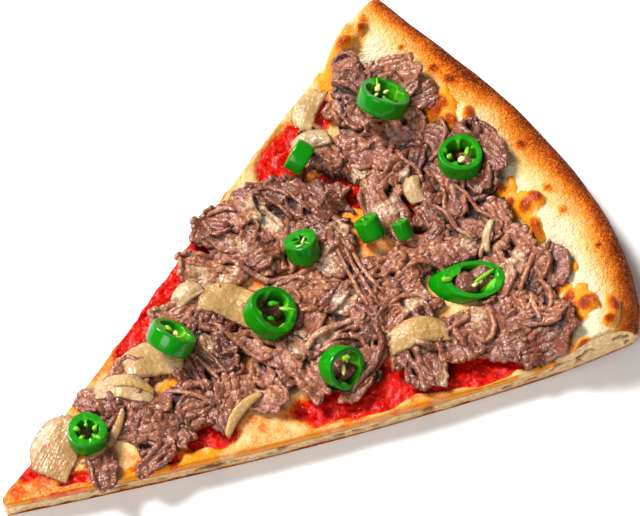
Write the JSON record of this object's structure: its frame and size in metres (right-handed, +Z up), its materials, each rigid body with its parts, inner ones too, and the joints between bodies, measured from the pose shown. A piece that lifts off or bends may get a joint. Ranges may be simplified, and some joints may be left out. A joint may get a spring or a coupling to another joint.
{
  "type": "pizza slice",
  "caption": "Wedge of pan-baked pizza with a raised browned rim, tomato sauce, melted cheese, a heap of shaved beef, onion petals and green chilli rings.",
  "frame": {"origin": "on the table under the middle of the slice's footprint", "axes": "+X from the slice's point to its rim along the centre line, +Z up"},
  "size_m": [0.1806, 0.1234, 0.0248],
  "materials": {
    "bread": "baked wheat bread, matte, golden to brown",
    "tomato_sauce": "wet grainy tomato sauce",
    "melted_cheese": "thin melted cheese, slightly oily, orange where the sauce shows through",
    "shaved_beef": "cooked shaved beef, brown, moist and fibrous",
    "onion": "baked onion, translucent yellow to tan",
    "green_chilli": "fresh green chilli, glossy skin"
  },
  "bodies": {
    "root": {"crust": "bread", "sauce": "tomato_sauce", "cheese": "melted_cheese", "beef_heap": "shaved_beef", "beef_scrap": "shaved_beef", "onion_petal_1": "onion", "onion_petal_2": "onion", "onion_petal_3": "onion", "onion_petal_4": "onion", "onion_petal_5": "onion", "onion_petal_6": "onion", "onion_petal_7": "onion", "onion_petal_8": "onion", "onion_petal_9": "onion", "onion_strip_1": "onion", "onion_strip_2": "onion", "onion_strip_3": "onion", "onion_strip_4": "onion", "chilli_1": "green_chilli", "chilli_2": "green_chilli", "chilli_3": "green_chilli", "chilli_4": "green_chilli", "chilli_5": "green_chilli", "chilli_6": "green_chilli", "chilli_7": "green_chilli", "chilli_8": "green_chilli", "chilli_9": "green_chilli", "chilli_10": "green_chilli", "chilli_11": "green_chilli"}
  },
  "joints": []
}
